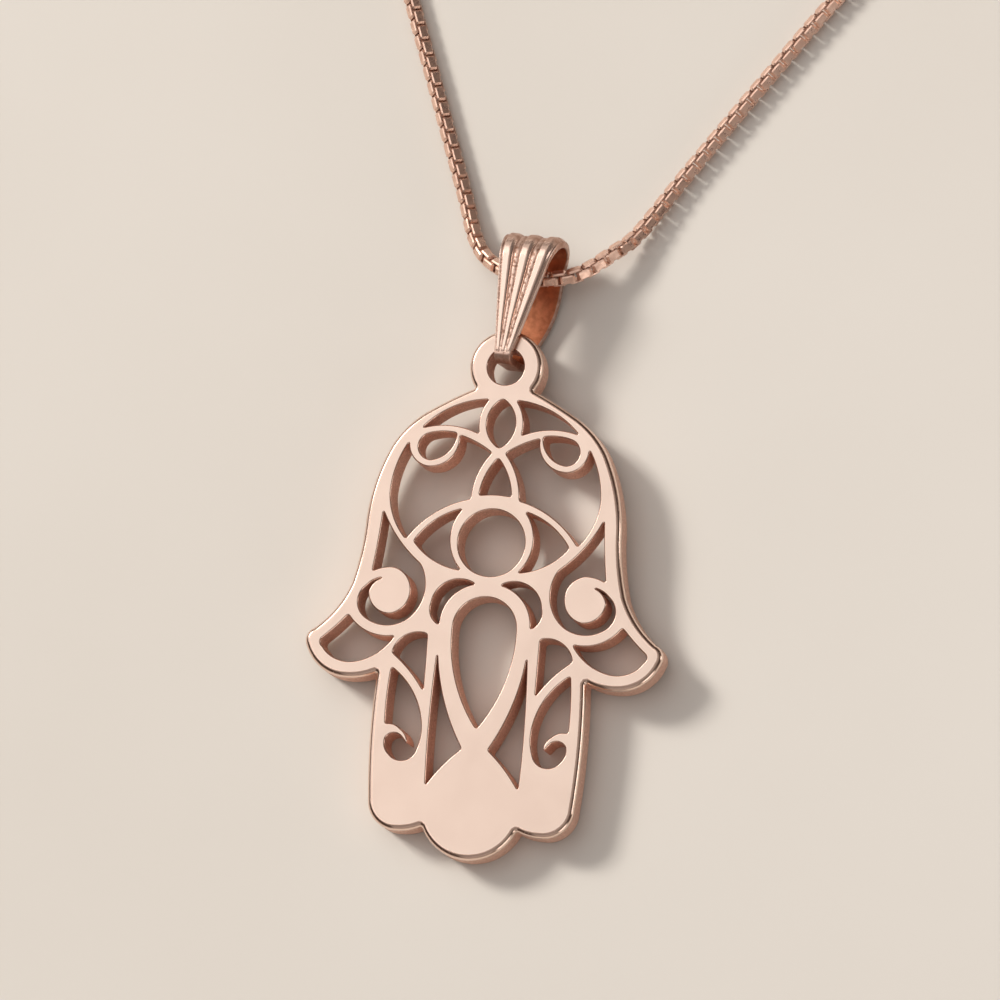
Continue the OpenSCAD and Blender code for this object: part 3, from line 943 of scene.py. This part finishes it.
def bail_surface():
    """Points on a grid, path stations by section points. The section runs across the outside, round
    the right edge, back across the inside and round the left edge. Also how dark each point is
    painted, as painted shade and darker tone, and the columns where the inside begins and ends."""
    path = bail_path()
    up, depth, way, _, bow = (path[:, k, None] for k in range(5))
    share = np.clip((up - BAIL_CORNER) / (BAIL_L - BAIL_CORNER), 0, 1)
    reach = (BAIL_FOOT_W + (BAIL_TOP_W - BAIL_FOOT_W) * share) / 2
    flat = reach - EDGE_ROUND
    foot = (np.cos(way) > FOOT_COSINE) & (up < BAIL_CORNER + FOOT_RISE)
    across = np.linspace(-1, 1, STEPS_ACROSS)[None]
    outside, tarnish_and_shade = bail_outside(path, reach, flat, across, foot)
    edge_out, edge_lift = section_edge(flat)
    inward = flat * np.linspace(1, -1, STEPS_INSIDE + 2)[None, 1:-1]
    place = np.concatenate([flat * across, edge_out, inward, -edge_out[:, ::-1]], axis=1)
    inside = 0 * inward - BAIL_SHEET / 2
    lift = np.concatenate([outside, edge_lift, inside, edge_lift[:, ::-1]], axis=1)
    middle = BAIL_SKEW * share + bow
    points = np.stack([middle + place, up + np.sin(way) * lift, depth + np.cos(way) * lift], axis=2)
    # Painted shade over the bend and down the back, and a darker foot
    dull = BEND_SHADE_DARKNESS * (smooth_step(*BEND_SHADE_ANGLES[:2], way)
                            * (1 - smooth_step(*BEND_SHADE_ANGLES[2:], way))) + FOOT_DARKNESS * foot
    painted_shade_and_tone = np.broadcast_to(np.clip(dull, 0, BEND_SHADE_DARKNESS), place.shape).copy()
    painted_shade_and_tone[:, :STEPS_ACROSS] = np.maximum(tarnish_and_shade, painted_shade_and_tone[:, :STEPS_ACROSS])
    begin = STEPS_ACROSS + edge_out.shape[1]
    return points, painted_shade_and_tone, (begin - 1, begin + STEPS_INSIDE)


print("bail surface:", bail_surface()[0].shape[:2], "points")

# %% [markdown]
# The strip is worked out standing straight, and the real one hangs a little turned and pitched. So
# its points are turned about the three axes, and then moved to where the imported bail's box is.

# %% Build the bail
BAIL_YAW = -8
BAIL_PITCH = 1.36
BAIL_LEAN = -5


def give_values(piece, name, values):
    """Stores one number a point on a piece, for its material to read."""
    attribute = piece.data.attributes.new(name, "FLOAT", "POINT")
    attribute.data.foreach_set("value", np.asarray(values, dtype=np.float32))


def turned(points, axis, degrees):
    """Points turned about an axis through the origin."""
    angle = math.radians(degrees)
    a, b = [k for k in range(3) if k != axis]
    c = math.cos(angle)
    s = math.sin(angle) * (-1 if axis == 1 else 1)
    result = points.copy()
    result[..., a] = c * points[..., a] - s * points[..., b]
    result[..., b] = s * points[..., a] + c * points[..., b]
    return result


def build_bail():
    """The bail's surface, turned as it hangs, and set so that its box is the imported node's box."""
    points, painted_shade_and_tone, inside = bail_surface()
    points = turned(turned(turned(points, 1, BAIL_YAW), 0, BAIL_PITCH), 2, BAIL_LEAN)
    rows, columns = points.shape[:2]
    flat = points.reshape(-1, 3)
    low, high = (np.array(corner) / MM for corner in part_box("bail"))
    shift = (low - flat.min(axis=0) + high - flat.max(axis=0)) / 2
    print("bail: box differs by", np.round(flat.max(axis=0) - flat.min(axis=0) - high + low, 3))
    faces = grid_faces(rows, columns, close_rows=True)
    column = np.arange(len(faces)) % columns
    # The inside columns take the metal coloured darker and redder as painted shade
    kinds = (column >= inside[0]) & (column < inside[1])
    piece = make_piece("fluted_bail", flat + shift, [faces], [FLUTE_METAL, SHADED_INSIDE_METAL], kinds)
    # How dark each point is painted, mostly painted shade, for the flutes' metal to read
    give_values(piece, "painted_shade_and_tone", painted_shade_and_tone.ravel())
    return piece


dress(build_bail(), "polished_rose_gold", "bail")

# %% [markdown]
# ## The chain: nine hundred box links
#
# A box chain is made of square loops of flat wire, each turned a quarter turn from the last. The
# end of one stands inside the next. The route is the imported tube's own, drawn a little gentler
# inside the bail, because links are stiffer than a tube. One link's mesh is copied along it by one
# array product, so nine hundred links cost no loop at all. A link has 48 faces: eight stretches
# round the loop by six round its wire.

# %% Chain route
CHAIN_LIE = 0.5
SPAN_PARTS = 24
ROUTE = np.array([
    [4.355, 57, 1.575], [12, 55.4, 0.9], [24, 51.4, 0.5], [38, 42, 0.5], [50, 27, 0.5],
    [56.4, 10, 0.5], [56.6, -8, 0.5], [51, -26, 0.5], [42, -44, 0.5], [29, -63, 0.5],
    [14, -83, 0.5], [-0.5, -101.1, 0.5], [-5.1, -107.2, 0.5], [-9.7, -113.6, 0.5],
    [-12, -117.05, 0.8], [-13.25, -118.35, 1.25], [-15.3, -119.85, 1.7], [-17.9, -120.15, 1.85],
    [-20.05, -119.3, 1.4], [-21.25, -117.85, 0.9], [-22.2, -115.2, 0.55], [-24.3, -109.4, 0.5],
    [-27.6, -100.2, 0.5], [-34, -81, 0.5], [-41, -60, 0.5], [-48, -40, 0.5], [-54.4, -20, 0.5],
    [-57, -2, 0.5], [-54.6, 16, 0.5], [-47, 32, 0.5], [-35, 45, 0.5], [-20, 53.4, 0.5],
    [-12, 55.8, 1], [-6.905, 57, 1.575]])


def smooth_route(route, parts):
    """A Catmull-Rom curve through the route, with equal parts in every span, kept on the table."""
    padded = np.concatenate([route[:1], route, route[-1:]])
    span = np.repeat(np.arange(len(route) - 1), parts)
    t = np.tile(np.arange(parts) / parts, len(route) - 1)[:, None]
    a, b, c, d = (padded[span + k] for k in range(4))
    curve = 0.5 * (2 * b + (c - a) * t + (2 * a - 5 * b + 4 * c - d) * t**2
                   + (3 * b - a - 3 * c + d) * t**3)
    curve = np.concatenate([curve, route[-1:]])
    curve[:, 2] = np.maximum(curve[:, 2], CHAIN_LIE)
    return curve


def on_chain(places):
    """The points of the chain's middle at distances along it."""
    return np.stack([np.interp(places, CHAIN_RUN, CHAIN_CURVE[:, k]) for k in range(3)], axis=1)


def box_middle(name):
    """The middle and the size of a node's box, in millimetres."""
    low, high = (np.array(corner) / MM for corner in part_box(name))
    return (low + high) / 2, high - low


CHAIN_CURVE = smooth_route(ROUTE, SPAN_PARTS)
CHAIN_RUN = np.concatenate([[0], np.cumsum(np.linalg.norm(np.diff(CHAIN_CURVE, axis=0), axis=1))])
CHAIN_L = CHAIN_RUN[-1]
from_bail = np.linalg.norm(CHAIN_CURVE[:, :2] - box_middle("bail")[0][:2], axis=1)
BAIL_PLACE = CHAIN_RUN[from_bail.argmin()]
print(f"chain route {CHAIN_L:.1f} mm, in the bail at {BAIL_PLACE:.1f} mm")

# %% [markdown]
# The links are square in section, 0.82 mm across, and follow each other every 0.47 mm. A link's
# opening is a hair wider than the next link's wire, so even where the chain bends in the bail they
# hang together without touching.

# %% One link
LINK_L = 0.84
LINK_W = 0.82
LINK_T = 0.13
LINK_WIRE_W = 0.505
LINK_CUT = 0.11
LINK_INNER_CUT = 0.03
LINK_SOFT = 0.06
LINK_SOFT_SHARE = 0.45


def cut_rectangle(x, z, cut):
    """The eight corners of a rectangle with cut corners, counterclockwise from its right side."""
    return np.array([[x, z - cut], [x - cut, z], [cut - x, z], [-x, z - cut],
                     [-x, cut - z], [cut - x, -z], [x - cut, -z], [x, cut - z]])


def link_mesh():
    """One link about the origin, its loop in the XZ plane and its wire's width along Y. The loop is
    a rectangle with cut corners, and the wire's two outer edges are eased."""
    outer = cut_rectangle(LINK_L / 2, LINK_W / 2, LINK_CUT)
    inner = cut_rectangle(LINK_L / 2 - LINK_T, LINK_W / 2 - LINK_T, LINK_INNER_CUT)
    half = LINK_WIRE_W / 2
    share = np.array([0, LINK_SOFT_SHARE, 1, 1, LINK_SOFT_SHARE, 0])[None, :, None]
    width = np.array([half - LINK_SOFT, half, half, -half, -half, LINK_SOFT - half])
    flat = outer[:, None] * (1 - share) + inner[:, None] * share
    points = np.stack([flat[..., 0], np.broadcast_to(width, flat.shape[:2]), flat[..., 1]], axis=2)
    return points.reshape(-1, 3), grid_faces(8, 6, close_rows=True)


print(f"a link's opening is {LINK_W - 2 * LINK_T:.2f} mm wide, its wire {LINK_WIRE_W} mm")

# %% All the links
LINK_PITCH = 0.47
LINK_START = 0.645
# The chain lies nearly on the corners of its links, and rolls to and fro by a few degrees
ROLL = 43
ROLL_WANDER = 9
WANDER_L = 9
SQUARE_L = 12


def chain_roll(places):
    """How far the chain is rolled about its own line, in degrees. It is nearly cornerwise, wanders
    slowly as a laid chain does, and turns square at both ends, where it meets the end loops."""
    ends = smooth_step(0, SQUARE_L, places) * smooth_step(0, SQUARE_L, CHAIN_L - places)
    return ends * (ROLL - ROLL_WANDER * np.sin((places - BAIL_PLACE) / WANDER_L))


def level_frames(ways):
    """Three directions for each way: along it, level across it, and square to both."""
    along = unit(ways)
    side = unit(np.cross((0, 0, 1), along))
    return along, side, np.cross(along, side)


def placed(points, directions, places):
    """Points copied to many places, each copy turned into its own three directions."""
    return np.einsum("pk,nkc->npc", points, np.stack(directions, axis=1)) + places[:, None]


def build_chain():
    """Every link at its place. Its three directions are the way along, the level across and the up
    square to both, turned by the roll, and by a quarter turn more for every other link."""
    count = 2 * round((CHAIN_L - 2 * LINK_START) / LINK_PITCH / 2) + 1
    places = np.linspace(LINK_START, CHAIN_L - LINK_START, count)
    ways = on_chain(places + LINK_PITCH / 2) - on_chain(places - LINK_PITCH / 2)
    along, side, up = level_frames(ways)
    roll = np.radians(chain_roll(places) + 90 * (np.arange(count) % 2))[:, None]
    across = side * np.cos(roll) + up * np.sin(roll)
    out = up * np.cos(roll) - side * np.sin(roll)
    points, faces = link_mesh()
    copies = placed(points, (along, across, out), on_chain(places))
    numbers = faces[None] + (np.arange(count) * len(points))[:, None, None]
    print(f"{count} links, {(CHAIN_L - 2 * LINK_START) / (count - 1):.3f} mm apart")
    return make_piece("box_links", copies.reshape(-1, 3), [numbers.reshape(-1, 4)], [LINK_METAL],
                      smooth=False)


dress(build_chain(), "chain_rose_gold", "chain")

# %% [markdown]
# ## The clasp and its links
#
# Behind the neck the chain closes with a spring ring. The photo doesn't show it, so it is finished
# plainly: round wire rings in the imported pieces' places, each worked out on a fine grid. A small
# squarish loop joins each end of the chain to the upright link beside the clasp.

# %% Round wire for the clasp
CLASP_WIRE = 1.3
EYE_WIRE = 0.7
EYE_R = 0.95


def wire_loop(half_l, half_w, wire_r, around=96, section=24, power=2):
    """A ring of round wire in the XY plane. Its line is |x/l|^n + |y/w|^n = 1: an oval when n is
    2, and squarer when it is more. A circle of the wire's radius is carried along its normal."""
    a = np.linspace(0, 2 * math.pi, around, endpoint=False)[:, None]
    b = np.linspace(0, 2 * math.pi, section, endpoint=False)[None]
    c, s = np.cos(a), np.sin(a)
    far = (np.abs(c / half_l) ** power + np.abs(s / half_w) ** power) ** (-1 / power)
    x, y = far * c, far * s
    out_x = np.sign(x) * np.abs(x / half_l) ** (power - 1) / half_l
    out_y = np.sign(y) * np.abs(y / half_w) ** (power - 1) / half_w
    size = np.hypot(out_x, out_y)
    points = np.stack([x + wire_r * np.cos(b) * out_x / size, y + wire_r * np.cos(b) * out_y / size,
                       wire_r * np.sin(b) + 0 * a], axis=2)
    return points.reshape(-1, 3), grid_faces(around, section, close_rows=True)[:, ::-1]


def build_clasp():
    """The spring ring and its eye, as two rings whose wires meet."""
    middle, size = box_middle("clasp")
    ring_r = (size[1] - CLASP_WIRE) / 2
    ring_points, ring_faces = wire_loop(ring_r, ring_r, CLASP_WIRE / 2)
    eye_points, eye_faces = wire_loop(EYE_R, EYE_R, EYE_WIRE / 2, around=64, section=20)
    ring_points[:, 0] += size[0] / 2 - ring_r - CLASP_WIRE / 2
    eye_points[:, 0] += EYE_R + EYE_WIRE / 2 - size[0] / 2
    points = np.concatenate([ring_points, eye_points]) + middle
    faces = [ring_faces, eye_faces + len(ring_points)]
    return make_piece("spring_ring", points, faces, [WIRE_METAL])


def build_link(name, node):
    """An upright round link in the place of its node."""
    middle, size = box_middle(node)
    ring_r = (size[0] - size[1]) / 2
    points, faces = wire_loop(ring_r, ring_r, size[1] / 2, around=72, section=20)
    return make_piece(name, points[:, [0, 2, 1]] * (1, -1, 1) + middle, [faces], [WIRE_METAL])


dress(build_clasp(), "clasp_rose_gold", "clasp")
dress(build_link("eye_link", "clasp_link"), "clasp_rose_gold", "clasp_link")
dress(build_link("ring_link", "end_link"), "clasp_rose_gold", "end_link")

# %% The end loops
END_LOOP_L = 0.655
END_LOOP_W = 0.49
END_LOOP_WIRE = 0.2
END_LOOP_GAP = 0.03
END_LOOP_POWER = 6


def outer_wire(node, clasp_x):
    """The middle of an upright link's wire where it is farthest from the clasp."""
    middle, size = box_middle(node)
    return middle + ((size[0] - size[1]) / 2 * np.sign(middle[0] - clasp_x), 0, 0)


def build_end_loops():
    """Two squarish loops, each round an upright link's wire and through the chain's first link. A
    loop lies from the wire towards the link, level across."""
    points, faces = wire_loop(END_LOOP_L, END_LOOP_W, END_LOOP_WIRE / 2, around=64, section=12,
                              power=END_LOOP_POWER)
    clasp_x = box_middle("clasp")[0][0]
    wires = np.array([outer_wire(node, clasp_x) for node in ("clasp_link", "end_link")])
    wires = wires[np.argsort(-wires[:, 0])]
    links = on_chain(np.array([LINK_START, CHAIN_L - LINK_START]))
    directions = level_frames(links - wires)
    back = END_LOOP_L + LINK_L / 2 - LINK_T - END_LOOP_WIRE / 2 - END_LOOP_GAP
    copies = placed(points, directions, links - directions[0] * back)
    return make_piece("end_loops", copies.reshape(-1, 3), [faces, faces + len(points)],
                      [LINK_METAL])


dress(build_end_loops(), "chain_rose_gold")
